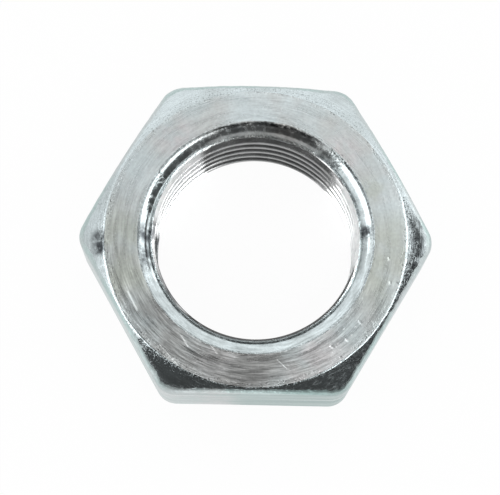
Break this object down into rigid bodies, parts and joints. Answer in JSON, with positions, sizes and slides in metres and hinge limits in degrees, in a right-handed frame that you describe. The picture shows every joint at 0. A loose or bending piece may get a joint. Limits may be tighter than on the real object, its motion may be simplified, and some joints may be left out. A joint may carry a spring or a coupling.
{
  "type": "hexagon jam nut",
  "caption": "Thin hexagon jam nut of zinc-plated steel: a flat turned upper face inside a chamfer, and a fine-threaded hole with a round trumpet mouth there and a countersink below.",
  "frame": {"origin": "on the thread's axis, at the bearing face that the nut lies on", "axes": "+Z along the thread, from the bearing face to the crowned face; +X through two opposite corners; +Y square to two opposite flats"},
  "size_m": [0.0306, 0.027, 0.0095],
  "materials": {
    "zinc_plate": "bright zinc plate over steel, with a pale blue cast: fine turned rings on the upper face, smooth flats"
  },
  "bodies": {
    "root": {"jam_nut": "zinc_plate"}
  },
  "joints": []
}
